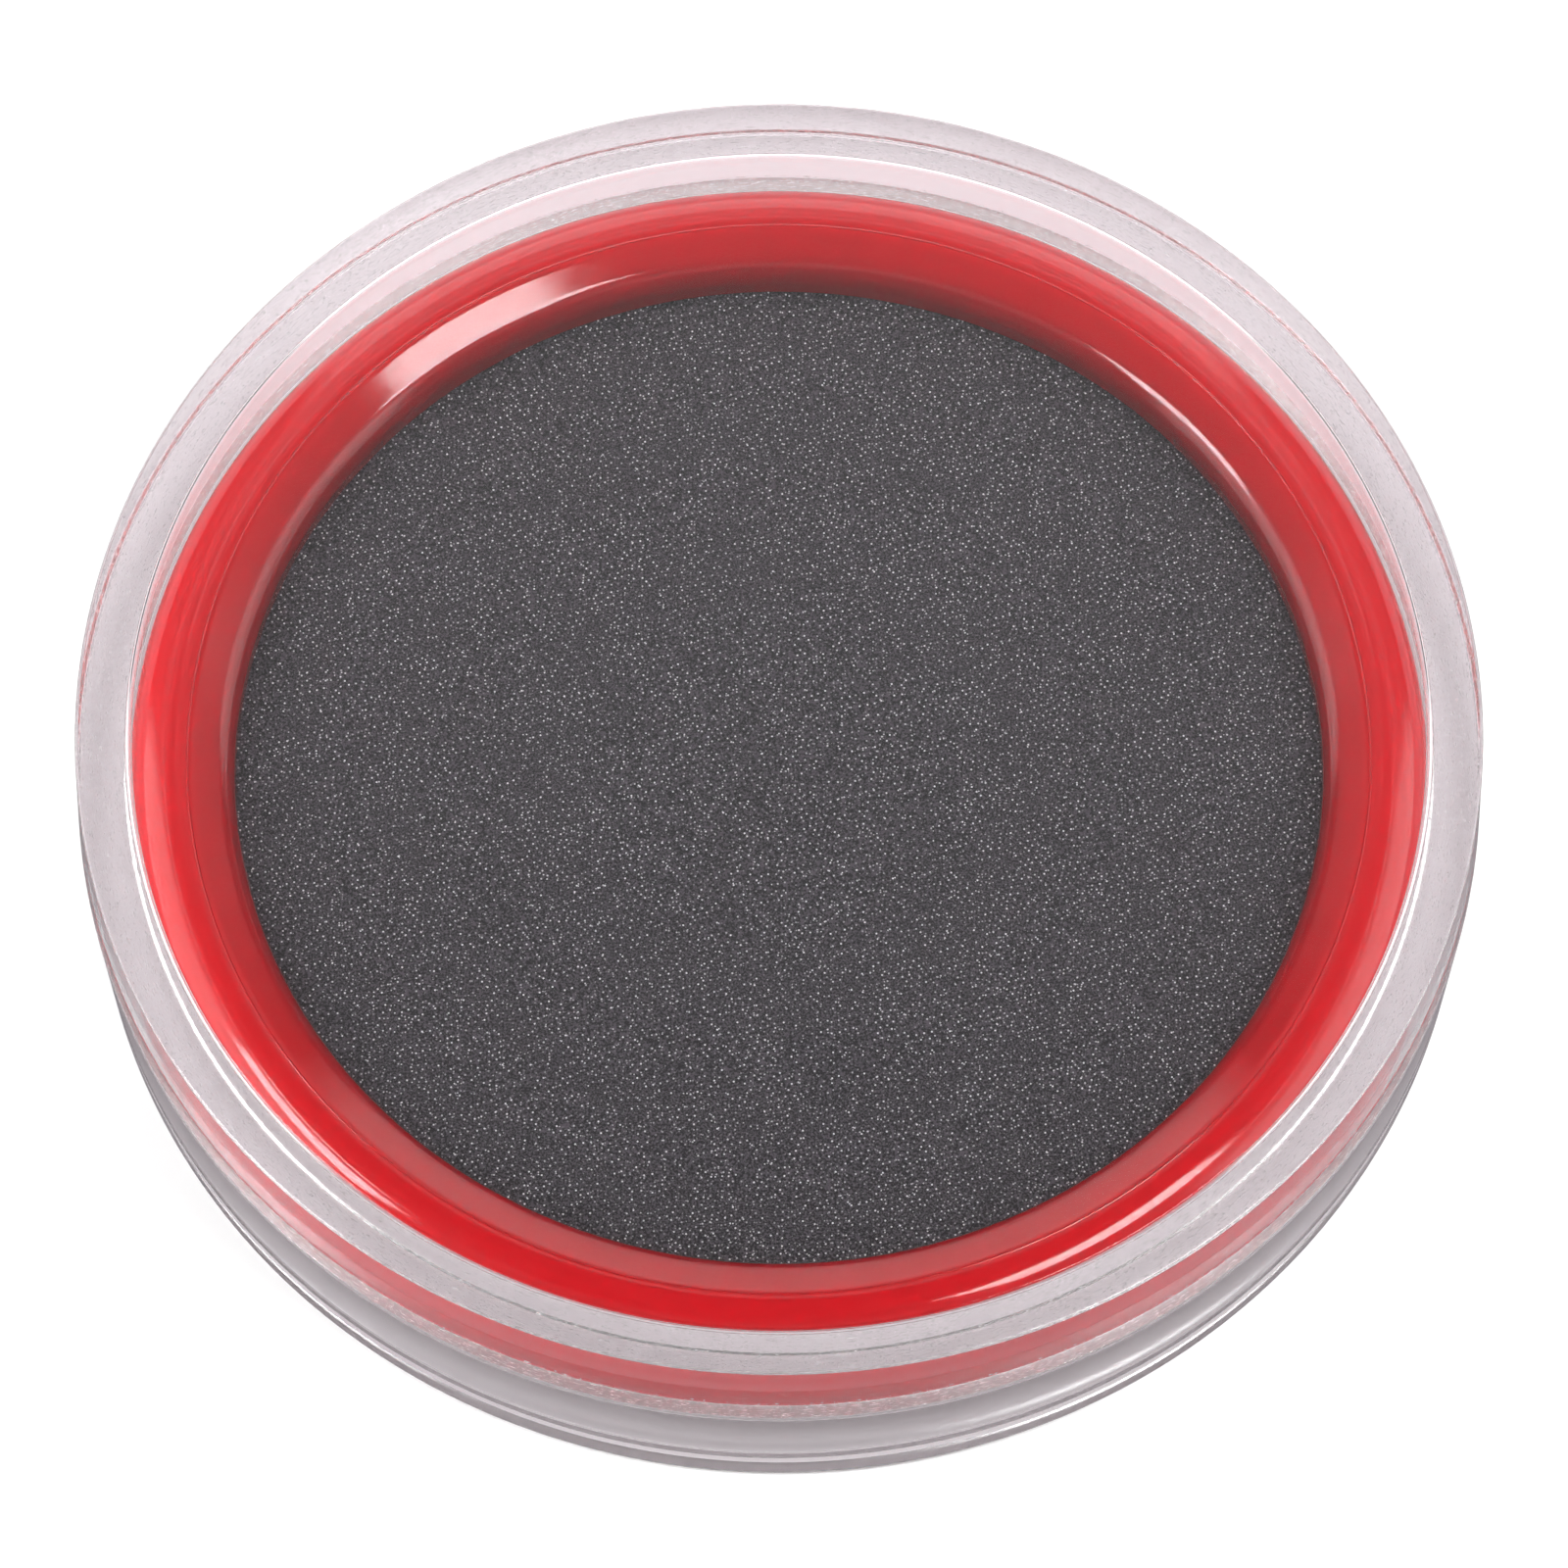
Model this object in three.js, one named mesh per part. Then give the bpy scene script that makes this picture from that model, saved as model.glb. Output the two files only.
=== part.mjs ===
// Round stamp pad in a clear moulded case with a lift-off lid.
// Millimetres, +Z up. The origin is the centre of the base's underside.
// Every piece is a body of revolution, so each one is a half section turned about Z.
import * as THREE from 'three';

// Case, measured from the outside in
const caseRadius = 40;           // outer wall of the lid and of the base's shoulder
const lidWall = 2.8;             // thickness of the lid's skirt
const lidPlate = 1.2;            // thickness of the lid's flat top
const lidSkirtDepth = 5.1;       // from the underside of the top down to the skirt's lower edge
const lidTopRound = 0.2;         // outer edge of the top
const cornerRound = 0.8;         // inside corner of the lid
const lidClearance = 0.15;       // radial play between the skirt and the ring that it drops round
const edgeBreak = 0.2;           // small rounding left on moulded edges
const baseTaper = 0.8;           // how much narrower the base is at the bottom than at its shoulder
const baseBottomRound = 1.0;     // lower outer edge of the base
const floorThickness = 1.8;      // floor of the base
const footRecess = 0.6;          // depth of the hollowed underside
const footWidth = 3.2;           // width of the ring that the case stands on
const bowlRound = 0.6;           // where the outer wall meets the floor inside
const gateRadius = 2.0;          // moulding gate dimple in the middle of the underside
const gateDepth = 0.4;
const clampWall = 1.1;           // standing wall inside the base that the cloth is stretched over

// Pad, measured from the floor up
const feltThickness = 2.6;
const foamThickness = 3.7;       // at the border, where the ring holds it down
const clothThickness = 0.4;
const padCrown = 0.4;            // rise of the pad's middle over its border
const foamEdgeRound = 0.6;       // softened upper edge of the foam
const clampRise = 1.0;           // how far the standing wall rises over the pad's border
const hemDrop = 1.8;             // length of cloth folded down outside the standing wall

// Retaining ring
const ringWidth = 6.1;           // from its outer wall to the stamping well
const ringSkirt = 1.25;          // thickness of its outer wall
const ringCrown = 1.8;           // plastic over the cloth's fold, at the crest
const ringSkirtHeight = 4.7;     // from the crest to the lower edge of its outer wall
const ringShoulderRound = 1.0;   // outer upper edge
const ringBand = 2.65;           // from the outer wall to the crease between its band and its slope
const ringBandSlope = THREE.MathUtils.degToRad(3); // the band is nearly level
const ringSlope = THREE.MathUtils.degToRad(22); // from the crease in to the rounded edge of the well
const ringWellRound = 1.9;       // inner upper edge, down to the upright wall of the well

// Room between neighbours
const seatGap = 0.1;             // upright gap between stacked pieces
const clothGap = 0.15;           // radial gap on each side of the cloth
const padGap = 0.3;              // radial gap between the foam or felt and the standing wall
const ringClearance = 0.1;       // radial gap between the ring and the base that it is pressed into
const stampRoom = 2.4;           // clear height from the ring's crest to the lid

// Fineness
const turnSteps = 64;            // facets round a full turn
const roundSteps = 4;            // facets on a rounded edge
const crownSteps = 6;            // facets from the pad's border to its middle

// Radii that follow, from the case wall to the well
const skirtInner = caseRadius - lidWall;
const ringOuter = skirtInner - lidClearance;
const bowlRadius = ringOuter + ringClearance;
const channelOuter = ringOuter - ringSkirt;
const hemOuter = channelOuter - clothGap;
const hemInner = hemOuter - clothThickness;
const clampOuter = hemInner - clothGap;
const clampInner = clampOuter - clampWall;
const riseOuter = clampInner - clothGap;
const riseInner = riseOuter - clothThickness;
const channelInner = riseInner - clothGap;
const wellRadius = ringOuter - ringWidth;
const padRadius = clampInner - padGap;

// Heights that follow, from the floor to the lid
const floorTop = footRecess + floorThickness;
const feltBottom = floorTop + seatGap;
const feltTop = feltBottom + feltThickness;
const foamBottom = feltTop + seatGap;
const foamTop = foamBottom + foamThickness;
const clothBottom = foamTop + seatGap;
const clothTop = clothBottom + clothThickness;
const clampTop = clothTop + clampRise;
const foldBottom = clampTop + seatGap;
const foldTop = foldBottom + clothThickness;
const channelTop = foldTop + seatGap;
const ringCrest = channelTop + ringCrown;
const lidUnderside = ringCrest + stampRoom;
const lidTop = lidUnderside + lidPlate;
const skirtBottom = lidUnderside - lidSkirtDepth;
const shoulderHeight = skirtBottom - seatGap;

const rightAngle = Math.PI / 2;

function corner(radius, height) {
  return new THREE.Vector2(radius, height);
}

// Rounded stretch of a half section, from one angle to another about a centre
function roundEdge(centreRadius, centreHeight, size, start, end, steps = roundSteps) {
  const clockwise = end < start;
  const curve = new THREE.EllipseCurve(centreRadius, centreHeight, size, size, start, end, clockwise);
  return curve.getPoints(steps);
}

// Shallow dome from the axis to the edge of the well, over a border at the given height
function crownEdge(borderHeight) {
  const size = (wellRadius ** 2 + padCrown ** 2) / (2 * padCrown);
  const centreHeight = borderHeight + padCrown - size;
  const endAngle = Math.acos(wellRadius / size);
  return roundEdge(0, centreHeight, size, rightAngle, endAngle, crownSteps);
}

function turned(name, profile, material) {
  const geometry = new THREE.LatheGeometry(profile, turnSteps);
  geometry.rotateX(rightAngle);
  const mesh = new THREE.Mesh(geometry, material);
  mesh.name = name;
  return mesh;
}

function finish(color, roughness, opacity = 1) {
  const transparent = opacity < 1;
  return new THREE.MeshStandardMaterial({ color, roughness, metalness: 0, opacity, transparent });
}

// Flat clear cap: its skirt drops round the red ring and sits on the base's shoulder
function makeLid() {
  const profile = [
    corner(0, lidUnderside),
    ...roundEdge(skirtInner - cornerRound, lidUnderside - cornerRound, cornerRound, rightAngle, 0),
    corner(skirtInner, skirtBottom + edgeBreak),
    corner(skirtInner + edgeBreak, skirtBottom),
    corner(caseRadius - edgeBreak, skirtBottom),
    corner(caseRadius, skirtBottom + edgeBreak),
    ...roundEdge(caseRadius - lidTopRound, lidTop - lidTopRound, lidTopRound, 0, rightAngle),
    corner(0, lidTop),
  ];
  return turned('lid', profile, finish(0xe9e6e8, 0.06, 0.3));
}

// Clear dish: hollowed underside, thick tapered wall and a standing wall for the cloth
function makeBase() {
  const bottomRadius = caseRadius - baseTaper;
  const recessRadius = bottomRadius - baseBottomRound - footWidth;
  const profile = [
    corner(0, footRecess + gateDepth),
    corner(gateRadius, footRecess + gateDepth),
    corner(gateRadius + edgeBreak, footRecess),
    corner(recessRadius, footRecess),
    corner(recessRadius + edgeBreak, 0),
    ...roundEdge(bottomRadius - baseBottomRound, baseBottomRound, baseBottomRound, -rightAngle, 0),
    corner(caseRadius, shoulderHeight - edgeBreak),
    corner(caseRadius - edgeBreak, shoulderHeight),
    corner(bowlRadius + edgeBreak, shoulderHeight),
    corner(bowlRadius, shoulderHeight - edgeBreak),
    ...roundEdge(bowlRadius - bowlRound, floorTop + bowlRound, bowlRound, 0, -rightAngle),
    corner(clampOuter, floorTop),
    ...roundEdge(clampOuter - edgeBreak, clampTop - edgeBreak, edgeBreak, 0, rightAngle, 2),
    ...roundEdge(clampInner + edgeBreak, clampTop - edgeBreak, edgeBreak, rightAngle, Math.PI, 2),
    corner(clampInner, floorTop),
    corner(0, floorTop),
  ];
  return turned('base', profile, finish(0xe6e2e4, 0.06, 0.3));
}

// Red ring pressed over the cloth's fold: level band, slope down to the well, channel underneath.
// Its outer wall guides the lid
function makeRetainingRing() {
  const crestRadius = ringOuter - ringShoulderRound;
  const creaseRadius = ringOuter - ringBand;
  const creaseHeight = ringCrest - (crestRadius - creaseRadius) * Math.tan(ringBandSlope);
  const wellCentreRadius = wellRadius + ringWellRound;
  const slopeEnd = wellCentreRadius - ringWellRound * Math.sin(ringSlope);
  const slopeDrop = (creaseRadius - slopeEnd) * Math.tan(ringSlope);
  const wellCentreHeight = creaseHeight - slopeDrop - ringWellRound * Math.cos(ringSlope);
  const legBottom = clothTop + seatGap;
  const skirtEdge = ringCrest - ringSkirtHeight;
  const profile = [
    corner(wellRadius + edgeBreak, legBottom),
    corner(channelInner - edgeBreak, legBottom),
    corner(channelInner, legBottom + edgeBreak),
    corner(channelInner, channelTop),
    corner(channelOuter, channelTop),
    corner(channelOuter, skirtEdge + edgeBreak),
    corner(channelOuter + edgeBreak, skirtEdge),
    corner(ringOuter - edgeBreak, skirtEdge),
    corner(ringOuter, skirtEdge + edgeBreak),
    ...roundEdge(crestRadius, ringCrest - ringShoulderRound, ringShoulderRound, 0, rightAngle),
    corner(creaseRadius, creaseHeight),
    ...roundEdge(wellCentreRadius, wellCentreHeight, ringWellRound, rightAngle + ringSlope, Math.PI, 6),
    corner(wellRadius, legBottom + edgeBreak),
    corner(wellRadius + edgeBreak, legBottom),
  ];
  return turned('retaining_ring', profile, finish(0xd2202c, 0.12));
}

// Inked cloth: domed over the foam, up inside the standing wall, over its top and down outside
function makePadCloth() {
  const profile = [
    ...crownEdge(clothBottom),
    corner(riseOuter, clothBottom),
    corner(riseOuter, foldBottom),
    corner(hemInner, foldBottom),
    corner(hemInner, foldTop - hemDrop),
    corner(hemOuter, foldTop - hemDrop),
    corner(hemOuter, foldTop),
    corner(riseInner, foldTop),
    corner(riseInner, clothTop),
    ...crownEdge(clothTop).reverse(),
  ];
  return turned('pad_cloth', profile, finish(0x4c4a4e, 0.75));
}

// Soft ink foam under the cloth, domed like it
function makeInkFoam() {
  const softEdge = Math.min(foamEdgeRound, foamThickness / 2, padRadius - wellRadius);
  const profile = [
    corner(0, foamBottom),
    corner(padRadius, foamBottom),
    ...roundEdge(padRadius - softEdge, foamTop - softEdge, softEdge, 0, rightAngle),
    ...crownEdge(foamTop).reverse(),
  ];
  return turned('ink_foam', profile, finish(0xcdbec0, 0.95));
}

// Felt disc that stores the ink on the floor of the base
function makeInkFelt() {
  const profile = [
    corner(0, feltBottom),
    corner(padRadius, feltBottom),
    corner(padRadius, feltTop),
    corner(0, feltTop),
  ];
  return turned('ink_felt', profile, finish(0xcdb2b6, 1.0));
}

const stampPad = new THREE.Group();
stampPad.add(makeLid(), makeBase(), makeRetainingRing(), makePadCloth(), makeInkFoam(), makeInkFelt());

export default stampPad;
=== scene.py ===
import math

import bmesh
import bpy
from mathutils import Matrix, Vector


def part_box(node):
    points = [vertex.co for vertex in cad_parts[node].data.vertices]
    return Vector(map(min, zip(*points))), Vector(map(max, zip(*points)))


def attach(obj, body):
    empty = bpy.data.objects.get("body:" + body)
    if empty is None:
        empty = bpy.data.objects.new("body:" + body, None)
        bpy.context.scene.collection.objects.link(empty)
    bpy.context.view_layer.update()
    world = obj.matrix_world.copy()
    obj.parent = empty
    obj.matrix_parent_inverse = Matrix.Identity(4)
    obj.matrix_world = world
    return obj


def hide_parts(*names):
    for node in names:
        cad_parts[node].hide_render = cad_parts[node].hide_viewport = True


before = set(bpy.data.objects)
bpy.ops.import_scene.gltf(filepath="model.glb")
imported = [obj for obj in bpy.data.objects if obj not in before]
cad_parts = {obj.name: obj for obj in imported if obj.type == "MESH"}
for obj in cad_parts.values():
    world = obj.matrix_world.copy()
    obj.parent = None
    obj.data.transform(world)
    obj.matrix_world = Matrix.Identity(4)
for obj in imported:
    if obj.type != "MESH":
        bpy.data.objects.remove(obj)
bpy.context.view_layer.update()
mm = 0.001
print("frame loaded:", ", ".join(sorted(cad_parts)))


# Small helpers

def hexColor(text):
    # sRGB hex to the linear values that the shaders use
    channels = [int(text[i:i + 2], 16) / 255 for i in (1, 3, 5)]
    linear = [c / 12.92 if c <= 0.04045 else ((c + 0.055) / 1.055) ** 2.4 for c in channels]
    return (*linear, 1.0)


def addNode(tree, kind, settings=None, inputs=None):
    # inputs are keyed by socket name or number; a socket as value is linked, anything else is set
    node = tree.nodes.new(kind)
    for key, value in (settings or {}).items():
        setattr(node, key, value)
    for key, value in (inputs or {}).items():
        if isinstance(value, bpy.types.NodeSocket):
            tree.links.new(value, node.inputs[key])
        else:
            node.inputs[key].default_value = value
    return node


def perMm(size):
    # texture scale that gives features of this size, in mm, on Object coordinates in metres
    return 1 / (size * mm)


def addCurve(tree, value, stops):
    # a curve of straight stretches through the given points
    node = addNode(tree, "ShaderNodeFloatCurve", None, {"Value": value})
    curve = node.mapping.curves[0]
    curve.points[0].location = stops[0]
    curve.points[1].location = stops[-1]
    for x, y in stops[1:-1]:
        curve.points.new(x, y)
    for point in curve.points:
        point.handle_type = "VECTOR"
    node.mapping.update()
    return node.outputs[0]


def newMaterial(name):
    material = bpy.data.materials.new(name)
    material.use_nodes = True
    material.node_tree.nodes.clear()
    return material, material.node_tree


# Half sections, written in mm as (radius, height) and turned about Z

def arc(radius, height, size, start, end, steps=10):
    turn = [math.radians(start + (end - start) * i / steps) for i in range(steps + 1)]
    return [(radius + size * math.cos(a), height + size * math.sin(a)) for a in turn]


def supported(points, reach=0.04):
    # extra loops close to both ends of each long straight stretch keep the shading flat there
    dense = [points[0]]
    for a, b in zip(points, points[1:]):
        length = math.dist(a, b)
        if length > 6 * reach:
            for t in (reach / length, 1 - reach / length):
                dense.append((a[0] + (b[0] - a[0]) * t, a[1] + (b[1] - a[1]) * t))
        dense.append(b)
    return dense


def buildTurnTree():
    tree = bpy.data.node_groups.new("turnHalfSection", "GeometryNodeTree")
    sockets = tree.interface
    sockets.new_socket("Geometry", in_out="INPUT", socket_type="NodeSocketGeometry")
    sockets.new_socket("Steps", in_out="INPUT", socket_type="NodeSocketInt")
    sockets.new_socket("Sharp Angle", in_out="INPUT", socket_type="NodeSocketFloat")
    sockets.new_socket("Finish", in_out="INPUT", socket_type="NodeSocketMaterial")
    sockets.new_socket("Worn From", in_out="INPUT", socket_type="NodeSocketFloat")
    sockets.new_socket("Worn To", in_out="INPUT", socket_type="NodeSocketFloat")
    sockets.new_socket("Worn Within", in_out="INPUT", socket_type="NodeSocketFloat")
    sockets.new_socket("Worn Finish", in_out="INPUT", socket_type="NodeSocketMaterial")
    sockets.new_socket("Geometry", in_out="OUTPUT", socket_type="NodeSocketGeometry")

    given = addNode(tree, "NodeGroupInput").outputs
    points = addNode(tree, "GeometryNodeAttributeDomainSize", {"component": "MESH"},
                     {"Geometry": given["Geometry"]})
    ring = addNode(tree, "ShaderNodeMath", {"operation": "ADD"}, {0: given["Steps"], 1: 1.0})
    sheet = addNode(tree, "GeometryNodeMeshGrid", None,
                    {"Vertices X": points.outputs["Point Count"], "Vertices Y": ring.outputs[0]})

    # each row of the grid is one point of the section, each column one step of the turn
    index = addNode(tree, "GeometryNodeInputIndex")
    share = addNode(tree, "ShaderNodeMath", {"operation": "DIVIDE"},
                    {0: index.outputs[0], 1: ring.outputs[0]})
    row = addNode(tree, "ShaderNodeMath", {"operation": "FLOOR"}, {0: share.outputs[0]})
    part = addNode(tree, "ShaderNodeMath", {"operation": "FLOORED_MODULO"},
                   {0: index.outputs[0], 1: ring.outputs[0]})
    turn = addNode(tree, "ShaderNodeMath", {"operation": "DIVIDE"}, {0: part.outputs[0], 1: given["Steps"]})
    angle = addNode(tree, "ShaderNodeMath", {"operation": "MULTIPLY"}, {0: turn.outputs[0], 1: 2 * math.pi})
    place = addNode(tree, "GeometryNodeInputPosition")
    point = addNode(tree, "GeometryNodeSampleIndex", {"data_type": "FLOAT_VECTOR", "domain": "POINT"},
                    {"Geometry": given["Geometry"], "Value": place.outputs[0], "Index": row.outputs[0]})
    axes = addNode(tree, "ShaderNodeSeparateXYZ", None, {0: point.outputs[0]})
    cosine = addNode(tree, "ShaderNodeMath", {"operation": "COSINE"}, {0: angle.outputs[0]})
    sine = addNode(tree, "ShaderNodeMath", {"operation": "SINE"}, {0: angle.outputs[0]})
    across = addNode(tree, "ShaderNodeMath", {"operation": "MULTIPLY"},
                     {0: axes.outputs[0], 1: cosine.outputs[0]})
    along = addNode(tree, "ShaderNodeMath", {"operation": "MULTIPLY"},
                    {0: axes.outputs[0], 1: sine.outputs[0]})
    spot = addNode(tree, "ShaderNodeCombineXYZ", None,
                   {0: across.outputs[0], 1: along.outputs[0], 2: axes.outputs[2]})
    turned = addNode(tree, "GeometryNodeSetPosition", None,
                     {"Geometry": sheet.outputs["Mesh"], "Position": spot.outputs[0]})
    closed = addNode(tree, "GeometryNodeMergeByDistance", None,
                     {"Geometry": turned.outputs[0], "Distance": 0.0001 * mm})

    # smooth all over, creased where the section has a real corner
    smooth = addNode(tree, "GeometryNodeSetShadeSmooth", {"domain": "FACE"},
                     {"Geometry": closed.outputs[0]})
    bend = addNode(tree, "GeometryNodeInputMeshEdgeAngle")
    crease = addNode(tree, "ShaderNodeMath", {"operation": "GREATER_THAN"},
                     {0: bend.outputs["Unsigned Angle"], 1: given["Sharp Angle"]})
    creased = addNode(tree, "GeometryNodeSetShadeSmooth", {"domain": "EDGE"},
                      {"Geometry": smooth.outputs[0], "Selection": crease.outputs[0],
                       "Shade Smooth": False})
    whole = addNode(tree, "GeometryNodeRealizeInstances", None, {"Geometry": creased.outputs[0]})
    dressed = addNode(tree, "GeometryNodeSetMaterial", None,
                      {"Geometry": whole.outputs[0], "Material": given["Finish"]})

    # faces between two heights and within a radius take the worn finish
    level = addNode(tree, "ShaderNodeSeparateXYZ", None, {0: place.outputs[0]}).outputs[2]
    above = addNode(tree, "ShaderNodeMath", {"operation": "GREATER_THAN"},
                    {0: level, 1: given["Worn From"]})
    below = addNode(tree, "ShaderNodeMath", {"operation": "LESS_THAN"}, {0: level, 1: given["Worn To"]})
    flat = addNode(tree, "ShaderNodeVectorMath", {"operation": "MULTIPLY"},
                   {0: place.outputs[0], 1: (1, 1, 0)})
    away = addNode(tree, "ShaderNodeVectorMath", {"operation": "LENGTH"}, {0: flat.outputs[0]})
    within = addNode(tree, "ShaderNodeMath", {"operation": "LESS_THAN"},
                     {0: away.outputs["Value"], 1: given["Worn Within"]})
    band = addNode(tree, "ShaderNodeMath", {"operation": "MULTIPLY"},
                   {0: above.outputs[0], 1: below.outputs[0]})
    chosen = addNode(tree, "ShaderNodeMath", {"operation": "MULTIPLY"},
                     {0: band.outputs[0], 1: within.outputs[0]})
    worn = addNode(tree, "GeometryNodeSetMaterial", None,
                   {"Geometry": dressed.outputs[0], "Selection": chosen.outputs[0],
                    "Material": given["Worn Finish"]})
    addNode(tree, "NodeGroupOutput", None, {"Geometry": worn.outputs[0]})
    return tree


turnTree = buildTurnTree()
turnSizes = {"steps": 288, "sharpAngle": 34}


def turnPiece(name, section, material, wornFinish=None, wornBand=(0, 0), wornWithin=0):
    # the section goes in as a chain of edges in the XZ plane
    corners = [(r * mm, 0, h * mm) for r, h in supported(section)]
    mesh = bpy.data.meshes.new(name)
    mesh.from_pydata(corners, [(i, i + 1) for i in range(len(corners) - 1)], [])
    piece = bpy.data.objects.new(name, mesh)
    bpy.context.scene.collection.objects.link(piece)

    modifier = piece.modifiers.new("turn", "NODES")
    modifier.node_group = turnTree
    values = {"Steps": turnSizes["steps"], "Sharp Angle": math.radians(turnSizes["sharpAngle"]),
              "Finish": material, "Worn From": wornBand[0] * mm, "Worn To": wornBand[1] * mm,
              "Worn Within": wornWithin * mm, "Worn Finish": wornFinish or material}
    for item in turnTree.interface.items_tree:
        if item.in_out == "INPUT" and item.name in values:
            modifier[item.identifier] = values[item.name]

    ready = piece.evaluated_get(bpy.context.evaluated_depsgraph_get())
    piece.data = bpy.data.meshes.new_from_object(ready)
    piece.modifiers.clear()
    shell = bmesh.new()
    shell.from_mesh(piece.data)
    bmesh.ops.recalc_face_normals(shell, faces=shell.faces)
    shell.to_mesh(piece.data)
    shell.free()
    piece.data.name = name
    print("turned", name, len(piece.data.polygons), "faces")
    return piece


# Materials

polystyreneIor = 1.59


def makeClearPolystyrene():
    # crystal polystyrene, injection moulded and polished: water clear, a touch grey in thick walls
    material, tree = newMaterial("clearPolystyrene")
    look = {"tint": "#fcfbfc", "gloss": 0.02, "flowMm": 3.0, "flowDepth": 0.004}
    coords = addNode(tree, "ShaderNodeTexCoord").outputs["Object"]
    flow = addNode(tree, "ShaderNodeTexNoise", None,
                   {"Vector": coords, "Scale": perMm(look["flowMm"]), "Detail": 2.0})
    bump = addNode(tree, "ShaderNodeBump", None,
                   {"Strength": 1.0, "Distance": look["flowDepth"] * mm, "Height": flow.outputs[0]})
    clear = addNode(tree, "ShaderNodeBsdfPrincipled", None,
                    {"Base Color": hexColor(look["tint"]), "Roughness": look["gloss"], "IOR": polystyreneIor,
                     "Transmission Weight": 1.0, "Normal": bump.outputs[0]})
    addNode(tree, "ShaderNodeOutputMaterial", None, {"Surface": clear.outputs[0]})
    return material


def makeScuffedPolystyrene():
    # the same polystyrene where the lid and the base meet: frosted by wear, with short bright scratches
    material, tree = newMaterial("scuffedPolystyrene")
    look = {"frost": "#f4edf0", "scratch": "#ffffff", "rough": 0.22, "through": 0.92, "scratchThrough": 0.2,
            "strokeLong": 0.5, "strokeWide": 0.11, "strokeFrom": 0.6, "strokeFull": 0.7,
            "strokeDepth": 0.03, "rimRadius": 39}
    coords = addNode(tree, "ShaderNodeTexCoord").outputs["Object"]
    axes = addNode(tree, "ShaderNodeSeparateXYZ", None, {0: coords})
    behind = addNode(tree, "ShaderNodeMath", {"operation": "MULTIPLY"}, {0: axes.outputs[1], 1: -1.0})
    angle = addNode(tree, "ShaderNodeMath", {"operation": "ARCTAN2"},
                    {0: axes.outputs[0], 1: behind.outputs[0]})
    around = addNode(tree, "ShaderNodeMath", {"operation": "MULTIPLY"},
                     {0: angle.outputs[0], 1: look["rimRadius"] / look["strokeLong"]})
    flat = addNode(tree, "ShaderNodeVectorMath", {"operation": "MULTIPLY"}, {0: coords, 1: (1, 1, 0)})
    radius = addNode(tree, "ShaderNodeVectorMath", {"operation": "LENGTH"}, {0: flat.outputs[0]})
    across = addNode(tree, "ShaderNodeMath", {"operation": "MULTIPLY"},
                     {0: radius.outputs["Value"], 1: perMm(look["strokeWide"])})
    unrolled = addNode(tree, "ShaderNodeCombineXYZ", None, {0: around.outputs[0], 1: across.outputs[0]})
    strokes = addNode(tree, "ShaderNodeTexNoise", None,
                      {"Vector": unrolled.outputs[0], "Scale": 1.0, "Detail": 3.0, "Distortion": 1.2})
    scratch = addNode(tree, "ShaderNodeMapRange", None,
                      {"Value": strokes.outputs[0], 1: look["strokeFrom"], 2: look["strokeFull"]})
    colour = addNode(tree, "ShaderNodeMix", {"data_type": "RGBA"},
                     {0: scratch.outputs[0], 6: hexColor(look["frost"]), 7: hexColor(look["scratch"])})
    passes = addNode(tree, "ShaderNodeMapRange", None,
                     {"Value": scratch.outputs[0], 3: look["through"], 4: look["scratchThrough"]})
    bump = addNode(tree, "ShaderNodeBump", None,
                   {"Distance": look["strokeDepth"] * mm, "Height": strokes.outputs[0]})
    frosted = addNode(tree, "ShaderNodeBsdfPrincipled", None,
                      {"Base Color": colour.outputs[2], "Roughness": look["rough"], "IOR": polystyreneIor,
                       "Transmission Weight": passes.outputs[0], "Normal": bump.outputs[0]})
    addNode(tree, "ShaderNodeOutputMaterial", None, {"Surface": frosted.outputs[0]})
    return material


def makeSatinPolystyrene():
    # the same polystyrene off a bead-blasted core: clear, with a soft satin face
    material, tree = newMaterial("satinPolystyrene")
    look = {"tint": "#ffffff", "rough": 0.35, "through": 0.95, "grainMm": 0.12, "grainDepth": 0.004}
    coords = addNode(tree, "ShaderNodeTexCoord").outputs["Object"]
    grain = addNode(tree, "ShaderNodeTexNoise", None, {"Vector": coords, "Scale": perMm(look["grainMm"])})
    bump = addNode(tree, "ShaderNodeBump", None,
                   {"Distance": look["grainDepth"] * mm, "Height": grain.outputs[0]})
    satin = addNode(tree, "ShaderNodeBsdfPrincipled", None,
                    {"Base Color": hexColor(look["tint"]), "Roughness": look["rough"], "IOR": polystyreneIor,
                     "Transmission Weight": look["through"], "Normal": bump.outputs[0]})
    addNode(tree, "ShaderNodeOutputMaterial", None, {"Surface": satin.outputs[0]})
    return material


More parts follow.
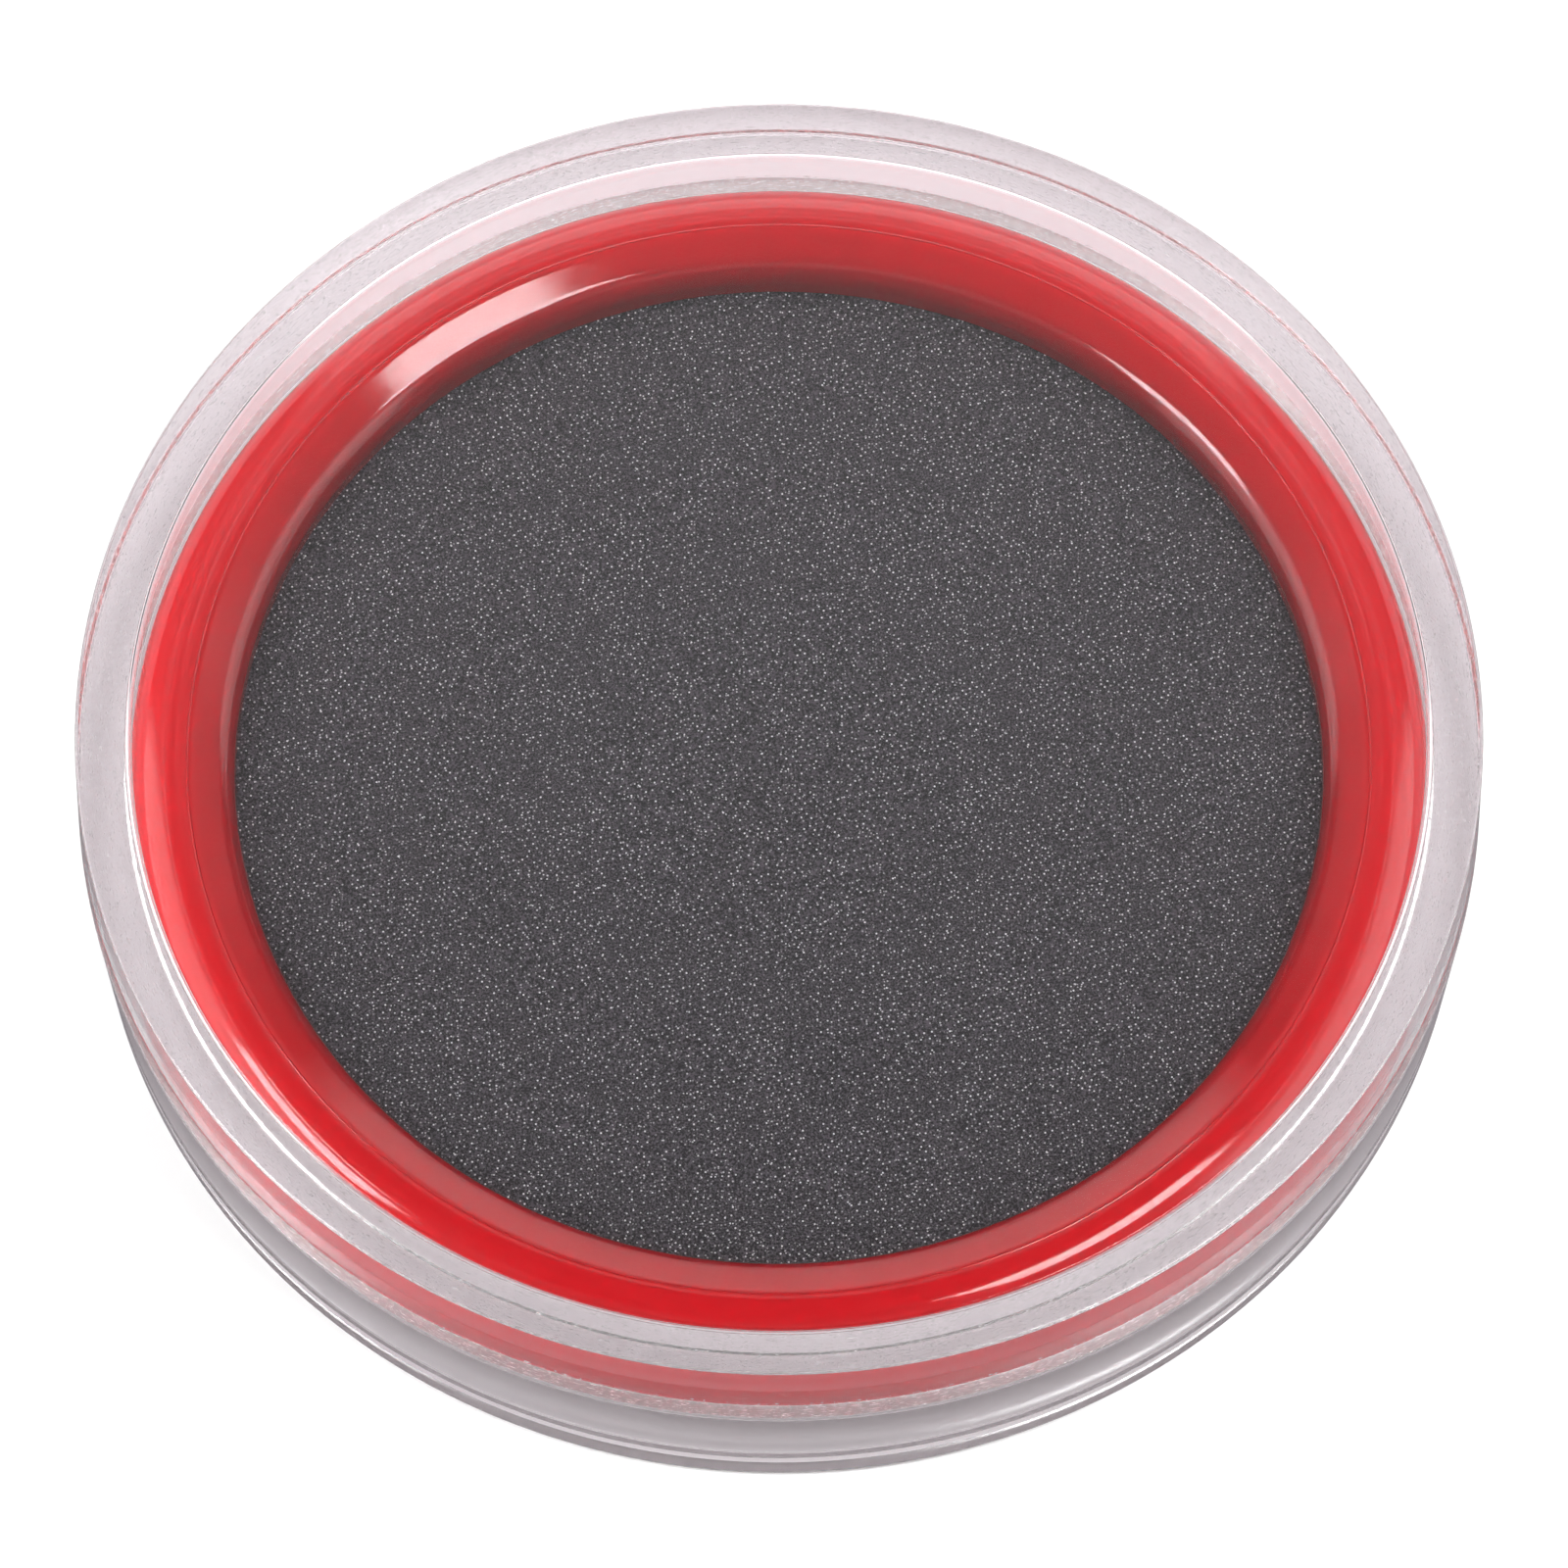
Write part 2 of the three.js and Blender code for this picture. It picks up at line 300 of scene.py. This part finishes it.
def makeRedPolystyrene():
    # impact polystyrene, moulded glossy and deep red. Its red is painted lighter at the outer edge and darker
    # down the slope into the well: painted light and painted shade
    material, tree = newMaterial("redPolystyrene")
    look = {"gloss": 0.09, "ior": 1.55, "creaseMm": 33.7, "mouldLineMm": 0.08, "mouldLineHigh": 0.04,
            "paintedShadeReds": ((30.9, "#860912"), (31.3, "#9a0a14"), (31.8, "#b40b16"), (32.4, "#c40c17"),
                     (33.1, "#c90d18"), (33.5, "#d50e19"), (34.6, "#df0f1b"), (36.2, "#f2101d"))}
    coords = addNode(tree, "ShaderNodeTexCoord").outputs["Object"]
    flat = addNode(tree, "ShaderNodeVectorMath", {"operation": "MULTIPLY"}, {0: coords, 1: (1, 1, 0)})
    radius = addNode(tree, "ShaderNodeVectorMath", {"operation": "LENGTH"}, {0: flat.outputs[0]})
    inner, outer = look["paintedShadeReds"][0][0], look["paintedShadeReds"][-1][0]
    across = addNode(tree, "ShaderNodeMapRange", None,
                     {"Value": radius.outputs["Value"], 1: inner * mm, 2: outer * mm})
    # painted light and shade: the red gets lighter towards the outer edge and darker towards the well
    ramp = addNode(tree, "ShaderNodeValToRGB", None, {0: across.outputs[0]})
    stops = ramp.color_ramp.elements
    for place, red in look["paintedShadeReds"][1:-1]:
        stops.new((place - inner) / (outer - inner))
    for stop, (place, red) in zip(stops, look["paintedShadeReds"]):
        stop.color = hexColor(red)

    # fine mould line along the crease
    offset = addNode(tree, "ShaderNodeMath", {"operation": "SUBTRACT"},
                     {0: radius.outputs["Value"], 1: look["creaseMm"] * mm})
    away = addNode(tree, "ShaderNodeMath", {"operation": "ABSOLUTE"}, {0: offset.outputs[0]})
    line = addNode(tree, "ShaderNodeMapRange", {"interpolation_type": "SMOOTHSTEP"},
                   {"Value": away.outputs[0], 1: 0.0, 2: look["mouldLineMm"] * mm, 3: 1.0, 4: 0.0})
    bump = addNode(tree, "ShaderNodeBump", None,
                   {"Distance": look["mouldLineHigh"] * mm, "Height": line.outputs[0]})
    plastic = addNode(tree, "ShaderNodeBsdfPrincipled", None,
                      {"Base Color": ramp.outputs[0], "Roughness": look["gloss"], "IOR": look["ior"],
                       "Normal": bump.outputs[0]})
    addNode(tree, "ShaderNodeOutputMaterial", None, {"Surface": plastic.outputs[0]})
    return material


def makeInkedCloth():
    # fine knitted nylon, wet with dark ink: mottled dark grey, with a white glint painted on each loop. The
    # hem under the ring stays dry and pale
    material, tree = newMaterial("inkedKnitNylon")
    look = {"deep": "#050506", "ground": "#554f56", "paintedGlint": "#ffffff", "dry": "#e2dcdf", "dryFrom": 34.2,
            "dryOver": 0.6, "mottleMm": 0.12, "mottleRange": (0.42, 0.62), "glintMm": 0.2,
            "glintRange": (0.12, 0.32), "glintRare": 4.0, "rowA": (0.405, 0.127), "rowB": (-0.286, 0.303),
            "dotRange": (0.03, 0.075), "dotRare": 1.6, "rough": 0.7, "ior": 1.5}
    coords = addNode(tree, "ShaderNodeTexCoord").outputs["Object"]
    mottle = addNode(tree, "ShaderNodeTexNoise", None,
                     {"Vector": coords, "Scale": perMm(look["mottleMm"]), "Detail": 2.0})
    weave = addNode(tree, "ShaderNodeMapRange", None,
                    {"Value": mottle.outputs[0], 1: look["mottleRange"][0], 2: look["mottleRange"][1]})
    wet = addNode(tree, "ShaderNodeMix", {"data_type": "RGBA"},
                  {0: weave.outputs[0], 6: hexColor(look["deep"]), 7: hexColor(look["ground"])})

    # loops sit on a slanted lattice, each with its own jitter and a painted glint of its own brightness
    ax, ay = look["rowA"]
    bx, by = look["rowB"]
    cell = (ax * by - ay * bx) * mm
    u = addNode(tree, "ShaderNodeVectorMath", {"operation": "DOT_PRODUCT"},
                {0: coords, 1: (by / cell, -bx / cell, 0)})
    v = addNode(tree, "ShaderNodeVectorMath", {"operation": "DOT_PRODUCT"},
                {0: coords, 1: (-ay / cell, ax / cell, 0)})
    lattice = addNode(tree, "ShaderNodeCombineXYZ", None, {0: u.outputs["Value"], 1: v.outputs["Value"]})
    loop = addNode(tree, "ShaderNodeVectorMath", {"operation": "FLOOR"}, {0: lattice.outputs[0]})
    chance = addNode(tree, "ShaderNodeTexWhiteNoise", {"noise_dimensions": "2D"},
                     {"Vector": loop.outputs[0]})
    middle = addNode(tree, "ShaderNodeVectorMath", {"operation": "FRACTION"}, {0: lattice.outputs[0]})
    jitter = addNode(tree, "ShaderNodeVectorMath", {"operation": "MULTIPLY_ADD"},
                     {0: chance.outputs["Color"], 1: (-0.5, -0.5, 0), 2: (-0.25, -0.25, 0)})
    offset = addNode(tree, "ShaderNodeVectorMath", {"operation": "ADD"},
                     {0: middle.outputs[0], 1: jitter.outputs[0]})
    local = addNode(tree, "ShaderNodeSeparateXYZ", None, {0: offset.outputs[0]})
    along = addNode(tree, "ShaderNodeVectorMath", {"operation": "SCALE"},
                    {0: (ax, ay, 0), "Scale": local.outputs[0]})
    across = addNode(tree, "ShaderNodeVectorMath", {"operation": "SCALE"},
                     {0: (bx, by, 0), "Scale": local.outputs[1]})
    away = addNode(tree, "ShaderNodeVectorMath", {"operation": "ADD"},
                   {0: along.outputs[0], 1: across.outputs[0]})
    distance = addNode(tree, "ShaderNodeVectorMath", {"operation": "LENGTH"}, {0: away.outputs[0]})
    dot = addNode(tree, "ShaderNodeMapRange", {"interpolation_type": "SMOOTHSTEP"},
                  {"Value": distance.outputs["Value"], 1: look["dotRange"][0], 2: look["dotRange"][1],
                   3: 1.0, 4: 0.0})
    bright = addNode(tree, "ShaderNodeMath", {"operation": "POWER"},
                     {0: chance.outputs["Value"], 1: look["dotRare"]})
    paintedGlint = addNode(tree, "ShaderNodeMath", {"operation": "MULTIPLY"},
                    {0: dot.outputs[0], 1: bright.outputs[0]})

    # stray fibres between the loops get painted glints too
    stray = addNode(tree, "ShaderNodeTexVoronoi", {"feature": "F1"},
                    {"Vector": coords, "Scale": perMm(look["glintMm"])})
    tip = addNode(tree, "ShaderNodeMapRange", {"interpolation_type": "SMOOTHSTEP"},
                  {"Value": stray.outputs["Distance"], 1: look["glintRange"][0], 2: look["glintRange"][1],
                   3: 1.0, 4: 0.0})
    luck = addNode(tree, "ShaderNodeSeparateColor", None, {0: stray.outputs["Color"]})
    rare = addNode(tree, "ShaderNodeMath", {"operation": "POWER"}, {0: luck.outputs[0], 1: look["glintRare"]})
    strayPaintedGlint = addNode(tree, "ShaderNodeMath", {"operation": "MULTIPLY"},
                    {0: tip.outputs[0], 1: rare.outputs[0]})
    paintedSparkle = addNode(tree, "ShaderNodeMath", {"operation": "MAXIMUM"},
                      {0: paintedGlint.outputs[0], 1: strayPaintedGlint.outputs[0]})
    # the glints are painted highlights, white mixed into the colour over the inked ground
    inked = addNode(tree, "ShaderNodeMix", {"data_type": "RGBA"},
                    {0: paintedSparkle.outputs[0], 6: wet.outputs[2], 7: hexColor(look["paintedGlint"])})

    flat = addNode(tree, "ShaderNodeVectorMath", {"operation": "MULTIPLY"}, {0: coords, 1: (1, 1, 0)})
    radius = addNode(tree, "ShaderNodeVectorMath", {"operation": "LENGTH"}, {0: flat.outputs[0]})
    dryFull = look["dryFrom"] + look["dryOver"]
    dry = addNode(tree, "ShaderNodeMapRange", {"interpolation_type": "SMOOTHSTEP"},
                  {"Value": radius.outputs["Value"], 1: look["dryFrom"] * mm, 2: dryFull * mm})
    colour = addNode(tree, "ShaderNodeMix", {"data_type": "RGBA"},
                     {0: dry.outputs[0], 6: inked.outputs[2], 7: hexColor(look["dry"])})
    cloth = addNode(tree, "ShaderNodeBsdfPrincipled", None,
                    {"Base Color": colour.outputs[2], "Roughness": look["rough"], "IOR": look["ior"]})
    addNode(tree, "ShaderNodeOutputMaterial", None, {"Surface": cloth.outputs[0]})
    return material


def makeInkFoam():
    # open-cell white foam, tinted by the ink it passes on: dull and pitted
    material, tree = newMaterial("inkedFoam")
    look = {"cell": "#b9a3a6", "wall": "#e3d8da", "cellMm": 0.5, "cellDepth": 0.15, "rough": 0.9}
    coords = addNode(tree, "ShaderNodeTexCoord").outputs["Object"]
    cells = addNode(tree, "ShaderNodeTexVoronoi", {"feature": "F1"},
                    {"Vector": coords, "Scale": perMm(look["cellMm"])})
    colour = addNode(tree, "ShaderNodeMix", {"data_type": "RGBA"},
                     {0: cells.outputs["Distance"], 6: hexColor(look["cell"]), 7: hexColor(look["wall"])})
    bump = addNode(tree, "ShaderNodeBump", None,
                   {"Distance": look["cellDepth"] * mm, "Height": cells.outputs["Distance"]})
    foam = addNode(tree, "ShaderNodeBsdfPrincipled", None,
                   {"Base Color": colour.outputs[2], "Roughness": look["rough"], "Normal": bump.outputs[0]})
    addNode(tree, "ShaderNodeOutputMaterial", None, {"Surface": foam.outputs[0]})
    return material


def makeInkFelt():
    # pressed white felt, tinted by the ink it holds: matted fibres
    material, tree = newMaterial("inkedFelt")
    look = {"dark": "#b48d92", "light": "#e6d6d8", "fibreMm": 0.35, "fibreDepth": 0.1, "rough": 0.95}
    coords = addNode(tree, "ShaderNodeTexCoord").outputs["Object"]
    fibres = addNode(tree, "ShaderNodeTexNoise", None,
                     {"Vector": coords, "Scale": perMm(look["fibreMm"]), "Detail": 4.0, "Distortion": 1.5})
    colour = addNode(tree, "ShaderNodeMix", {"data_type": "RGBA"},
                     {0: fibres.outputs[0], 6: hexColor(look["dark"]), 7: hexColor(look["light"])})
    bump = addNode(tree, "ShaderNodeBump", None,
                   {"Distance": look["fibreDepth"] * mm, "Height": fibres.outputs[0]})
    felt = addNode(tree, "ShaderNodeBsdfPrincipled", None,
                   {"Base Color": colour.outputs[2], "Roughness": look["rough"], "Normal": bump.outputs[0]})
    addNode(tree, "ShaderNodeOutputMaterial", None, {"Surface": felt.outputs[0]})
    return material


clearPolystyrene = makeClearPolystyrene()
scuffedPolystyrene = makeScuffedPolystyrene()
satinPolystyrene = makeSatinPolystyrene()
redPolystyrene = makeRedPolystyrene()
inkedCloth = makeInkedCloth()
inkFoam = makeInkFoam()
inkFelt = makeInkFelt()
print("materials ready")


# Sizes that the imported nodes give, in mm

def reach(node):
    low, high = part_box(node)
    return high.x / mm, low.z / mm, high.z / mm


caseRadius, skirtBottom, lidTop = reach("lid")
baseRadius, tableHeight, standTop = reach("base")
ringRadius, ringSkirtEdge, ringCrest = reach("retaining_ring")
clothRadius, clothBottom, clothTop = reach("pad_cloth")
foamRadius, foamBottom, foamTop = reach("ink_foam")
feltRadius, feltBottom, feltTop = reach("ink_felt")

# Lid: flat clear cap with a thick skirt

lidSizes = {"wall": 2.8, "plate": 1.2, "topRound": 0.2, "insideRound": 0.4, "edgeRound": 0.2}


def makeLid():
    s = lidSizes
    inner = caseRadius - s["wall"]
    under = lidTop - s["plate"]
    edge = s["edgeRound"]
    section = [(0, under)]
    section += arc(inner - s["insideRound"], under - s["insideRound"], s["insideRound"], 90, 0)
    section += arc(inner + edge, skirtBottom + edge, edge, 180, 270, 6)
    section += arc(caseRadius - edge, skirtBottom + edge, edge, 270, 360, 6)
    section += arc(caseRadius - s["topRound"], lidTop - s["topRound"], s["topRound"], 0, 90, 12)
    section += [(0, lidTop)]
    wornBand = (skirtBottom - edge, skirtBottom + edge)
    return turnPiece("clear_lid", section, clearPolystyrene, scuffedPolystyrene, wornBand, caseRadius)


# Base: clear dish with a foot ring, a thick wall and a standing wall for the cloth

baseSizes = {"bowl": 37.15, "shoulder": 10.0, "edgeRound": 0.2, "taper": 0.8, "bottomRound": 1.0,
             "floor": 1.8, "footRecess": 0.6, "footWidth": 3.2, "bowlRound": 0.6,
             "gateRadius": 2.0, "gateDepth": 0.4, "standOuter": 35.1, "standWall": 1.1}


def makeBase():
    s = baseSizes
    edge = s["edgeRound"]
    bottom = baseRadius - s["taper"]
    recess = bottom - s["bottomRound"] - s["footWidth"]
    floorTop = s["footRecess"] + s["floor"]
    standInner = s["standOuter"] - s["standWall"]
    section = [(0, s["footRecess"] + s["gateDepth"]), (s["gateRadius"], s["footRecess"] + s["gateDepth"])]
    section += [(s["gateRadius"] + edge, s["footRecess"]), (recess, s["footRecess"])]
    section += [(recess + edge, tableHeight)]
    section += arc(bottom - s["bottomRound"], tableHeight + s["bottomRound"], s["bottomRound"], 270, 360)
    section += arc(baseRadius - edge, s["shoulder"] - edge, edge, 0, 90, 6)
    section += arc(s["bowl"] + edge, s["shoulder"] - edge, edge, 90, 180, 6)
    section += arc(s["bowl"] - s["bowlRound"], floorTop + s["bowlRound"], s["bowlRound"], 0, -90)
    section += [(s["standOuter"], floorTop)]
    section += arc(s["standOuter"] - edge, standTop - edge, edge, 0, 90, 4)
    section += arc(standInner + edge, standTop - edge, edge, 90, 180, 4)
    section += [(standInner, floorTop), (0, floorTop)]
    # the inside and the shoulder are satin
    return turnPiece("clear_base", section, clearPolystyrene, satinPolystyrene,
                     (s["bottomRound"] + edge, lidTop), baseRadius - s["taper"])


# Retaining ring: red moulding with a channel underneath

ringSizes = {"width": 6.1, "skirt": 1.25, "channelInner": 33.3, "channelTop": 11.0, "legBottom": 9.5,
             "shoulderRound": 3.0, "band": 3.4, "bandSlope": 3, "creaseRound": 2.0, "slope": 22,
             "wellRound": 1.7, "edgeRound": 0.2}


def makeRing():
    s = ringSizes
    edge = s["edgeRound"]
    well = ringRadius - s["width"]
    crest = ringRadius - s["shoulderRound"]
    crease = ringRadius - s["band"]
    level, fall = math.radians(s["bandSlope"]), math.radians(s["slope"])
    creaseHeight = ringCrest - (crest - crease) * math.tan(level)
    wellCentre = well + s["wellRound"]
    slopeEnd = wellCentre - s["wellRound"] * math.sin(fall)
    wellHeight = creaseHeight - (crease - slopeEnd) * math.tan(fall) - s["wellRound"] * math.cos(fall)

    # the crease is softened by a small arc that touches the band and the slope
    tangent = s["creaseRound"] * math.tan((fall - level) / 2)
    softCentre = crease + tangent * math.cos(level) + s["creaseRound"] * math.sin(level)
    softHeight = creaseHeight + tangent * math.sin(level) - s["creaseRound"] * math.cos(level)
    channelOuter = ringRadius - s["skirt"]
    section = [(well + edge, s["legBottom"]), (s["channelInner"] - edge, s["legBottom"])]
    section += [(s["channelInner"], s["legBottom"] + edge), (s["channelInner"], s["channelTop"])]
    section += [(channelOuter, s["channelTop"]), (channelOuter, ringSkirtEdge + edge)]
    section += [(channelOuter + edge, ringSkirtEdge)]
    section += arc(ringRadius - edge, ringSkirtEdge + edge, edge, 270, 360, 4)
    section += arc(crest, ringCrest - s["shoulderRound"], s["shoulderRound"], 0, 90, 24)
    section += arc(softCentre, softHeight, s["creaseRound"], 90 + s["bandSlope"], 90 + s["slope"], 8)
    section += arc(wellCentre, wellHeight, s["wellRound"], 90 + s["slope"], 180, 20)
    section += arc(well + edge, s["legBottom"] + edge, edge, 180, 270, 4)
    return turnPiece("red_ring", section, redPolystyrene)


# Pad: knitted cloth stretched over foam, on a felt disc

padSizes = {"cloth": 0.4, "crown": 0.4, "riseInner": 33.45, "riseOuter": 33.85, "hemInner": 35.25,
            "hemDrop": 1.8, "wellRadius": 30.95, "foamRound": 0.6}


def crownArc(border, steps=16):
    rise, well = padSizes["crown"], padSizes["wellRadius"]
    size = (well ** 2 + rise ** 2) / (2 * rise)
    return arc(0, border + rise - size, size, 90, math.degrees(math.acos(well / size)), steps)


def makeCloth():
    s = padSizes
    under = clothBottom
    over = under + s["cloth"]
    section = crownArc(under)
    section += [(s["riseOuter"], under), (s["riseOuter"], clothTop - s["cloth"])]
    section += [(s["hemInner"], clothTop - s["cloth"]), (s["hemInner"], clothTop - s["hemDrop"])]
    section += [(clothRadius, clothTop - s["hemDrop"]), (clothRadius, clothTop), (s["riseInner"], clothTop)]
    section += [(s["riseInner"], over)]
    section += crownArc(over)[::-1]
    return turnPiece("inked_cloth", section, inkedCloth)


def makeFoam():
    s = padSizes
    border = foamTop - s["crown"]
    section = [(0, foamBottom), (foamRadius, foamBottom)]
    section += arc(foamRadius - s["foamRound"], border - s["foamRound"], s["foamRound"], 0, 90)
    section += crownArc(border)[::-1]
    return turnPiece("foam_disc", section, inkFoam)


def makeFelt():
    section = [(0, feltBottom), (feltRadius, feltBottom), (feltRadius, feltTop), (0, feltTop)]
    return turnPiece("felt_disc", section, inkFelt)


lid = makeLid()
base = makeBase()
ring = makeRing()
cloth = makeCloth()
foam = makeFoam()
felt = makeFelt()

for piece, node, body, slot in (
        (lid, "lid", "lid", "clear_polystyrene"),
        (base, "base", "case", "clear_polystyrene"),
        (ring, "retaining_ring", "case", "red_polystyrene"),
        (cloth, "pad_cloth", "case", "inked_cloth"),
        (foam, "ink_foam", "case", "ink_foam"),
        (felt, "ink_felt", "case", "ink_felt")):
    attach(piece, body)
    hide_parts(node)

# the cloth is cut as a disc as wide as the pad, its rise, its fold and its hem
print("pieces ready")


# Studio: pale floor, a softbox on each side and a dim tent with a white board behind and on each side. The
# tent's levels are pairs of degrees over the floor and brightness

studio = {"left": (-0.70, -0.22, 0.68), "right": (0.40, -0.23, 0.887), "distance": 1.0,
          "lampSize": (0.36, 0.28), "leftPower": 8.4, "rightPower": 8.4, "sideFrom": 32, "sideFull": 24,
          "around": ((0, 0.03), (30, 0.05), (36, 0.5), (46, 0.5), (52, 0.05), (90, 0.03)),
          "tent": {(0, 1, 0): ((0, 2.2), (30, 2.2), (34, 0.4), (52, 0.4), (55, 1.2), (57, 1.2),
                               (59.5, 0.15), (62, 0.45), (64.5, 0.22), (66, 0.03), (90, 0.03)),
                   (-1, 0, 0): ((0, 3.0), (22, 3.0), (36, 2.5), (46, 0.5), (58, 0.1), (90, 0.03)),
                   (1, 0, 0): ((0, 2.8), (22, 2.8), (36, 2.3), (46, 0.5), (58, 0.1), (90, 0.03))},
          "floorSize": 3.0, "floorGap": 0.02, "card": "#f4f4f4", "table": "#7d787c",
          # the table glow and its near and far levels are painted light, a glow shown only to rays through
          # the clear case
          "paintedTableGlow": "#d3cccf", "paintedGlowNear": 1.15, "paintedGlowFar": 1.7}


def aim(obj, target):
    obj.rotation_euler = (Vector(target) - obj.location).to_track_quat("-Z", "Y").to_euler()


def addLamp(name, place, target, size, power):
    data = bpy.data.lights.new(name, "AREA")
    data.shape = "RECTANGLE"
    data.size, data.size_y = size
    data.energy = power
    lamp = bpy.data.objects.new(name, data)
    bpy.context.scene.collection.objects.link(lamp)
    lamp.location = place
    aim(lamp, target)
    return lamp


def makeStudio():
    s = studio
    middle = (0, 0, lidTop * mm / 2)
    for side in ("left", "right"):
        addLamp(side + "Softbox", Vector(s[side]) * s["distance"], middle, s["lampSize"], s[side + "Power"])

    plane = bpy.data.meshes.new("floor")
    half = s["floorSize"] / 2
    corners = [(-half, -half, 0), (half, -half, 0), (half, half, 0), (-half, half, 0)]
    plane.from_pydata(corners, [], [(0, 1, 2, 3)])
    floor = bpy.data.objects.new("floor", plane)
    bpy.context.scene.collection.objects.link(floor)
    floor.location.z = (tableHeight - s["floorGap"]) * mm
    material, tree = newMaterial("tableTop")
    # the camera sees white card with the shadow on it. Rays through the clear case meet a grey glow instead,
    # painted light that stands in for the lit table and gets brighter towards the back
    path = addNode(tree, "ShaderNodeLightPath")
    colour = addNode(tree, "ShaderNodeMix", {"data_type": "RGBA"},
                     {0: path.outputs["Is Camera Ray"], 6: hexColor(s["table"]), 7: hexColor(s["card"])})
    card = addNode(tree, "ShaderNodeBsdfDiffuse", None, {"Color": colour.outputs[2]})
    coords = addNode(tree, "ShaderNodeTexCoord").outputs["Object"]
    spot = addNode(tree, "ShaderNodeSeparateXYZ", None, {0: coords})
    paintedGlowLevel = addNode(tree, "ShaderNodeMapRange", None,
                  {"Value": spot.outputs[1], 1: -caseRadius * mm, 2: caseRadius * mm,
                   3: s["paintedGlowNear"], 4: s["paintedGlowFar"]})
    paintedTableLight = addNode(tree, "ShaderNodeEmission", None,
                        {"Color": hexColor(s["paintedTableGlow"]), "Strength": paintedGlowLevel.outputs[0]})
    shown = addNode(tree, "ShaderNodeMixShader", None,
                    {0: path.outputs["Is Transmission Ray"], 1: card.outputs[0], 2: paintedTableLight.outputs[0]})
    addNode(tree, "ShaderNodeOutputMaterial", None, {"Surface": shown.outputs[0]})
    floor.data.materials.append(material)

    world = bpy.data.worlds.new("studio")
    bpy.context.scene.world = world
    world.use_nodes = True
    tree = world.node_tree
    tree.nodes.clear()
    path = addNode(tree, "ShaderNodeLightPath")
    way = addNode(tree, "ShaderNodeTexCoord").outputs["Generated"]
    high = addNode(tree, "ShaderNodeSeparateXYZ", None, {0: way}).outputs[2]
    level = addNode(tree, "ShaderNodeVectorMath", {"operation": "MULTIPLY"}, {0: way, 1: (1, 1, 0)})
    heading = addNode(tree, "ShaderNodeVectorMath", {"operation": "NORMALIZE"}, {0: level.outputs[0]})
    # a curve's reach is 0 to 1, so the levels go in as tenths
    low = addCurve(tree, high, [(math.sin(math.radians(e)), bright / 10) for e, bright in s["around"]])
    glow = addNode(tree, "ShaderNodeMath", {"operation": "MULTIPLY"}, {0: low, 1: 10.0}).outputs[0]
    for side, stops in s["tent"].items():
        facing = addNode(tree, "ShaderNodeVectorMath", {"operation": "DOT_PRODUCT"},
                         {0: heading.outputs[0], 1: side})
        within = addNode(tree, "ShaderNodeMapRange", {"interpolation_type": "SMOOTHSTEP"},
                         {"Value": facing.outputs["Value"], 1: math.cos(math.radians(s["sideFrom"])),
                          2: math.cos(math.radians(s["sideFull"]))})
        up = addCurve(tree, high, [(math.sin(math.radians(e)), bright / 10) for e, bright in stops])
        share = addNode(tree, "ShaderNodeMath", {"operation": "MULTIPLY"}, {0: within.outputs[0], 1: 10.0})
        glow = addNode(tree, "ShaderNodeMath", {"operation": "MULTIPLY_ADD"},
                       {0: share.outputs[0], 1: up, 2: glow}).outputs[0]
    room = addNode(tree, "ShaderNodeBackground", None, {"Color": (1, 1, 1, 1), "Strength": glow})
    white = addNode(tree, "ShaderNodeBackground", None, {"Color": (1, 1, 1, 1), "Strength": 1.0})
    seen = addNode(tree, "ShaderNodeMixShader", None,
                   {0: path.outputs["Is Camera Ray"], 1: room.outputs[0], 2: white.outputs[0]})
    addNode(tree, "ShaderNodeOutputWorld", None, {"Surface": seen.outputs[0]})


makeStudio()

# Camera, fitted to the outline in the photograph

view = {"elevation": 64.45, "distance": 1266, "lens": 511.8, "shift": (0.0032, -0.0347)}


def makeCamera():
    data = bpy.data.cameras.new("camera")
    data.lens = view["lens"]
    data.shift_x, data.shift_y = view["shift"]
    data.clip_start = 0.01
    camera = bpy.data.objects.new("camera", data)
    bpy.context.scene.collection.objects.link(camera)
    tilt = math.radians(view["elevation"])
    target = Vector((0, 0, lidTop * mm))
    camera.location = target + Vector((0, -math.cos(tilt), math.sin(tilt))) * view["distance"] * mm
    aim(camera, target)
    bpy.context.scene.camera = camera


makeCamera()
bpy.context.scene.view_settings.view_transform = "Standard"

# light is piped along the clear walls, so the paths have to be long
lightPaths = {"max_bounces": 32, "glossy_bounces": 24, "transmission_bounces": 32, "diffuse_bounces": 4}
for limit, count in lightPaths.items():
    setattr(bpy.context.scene.cycles, limit, count)
print("studio ready")
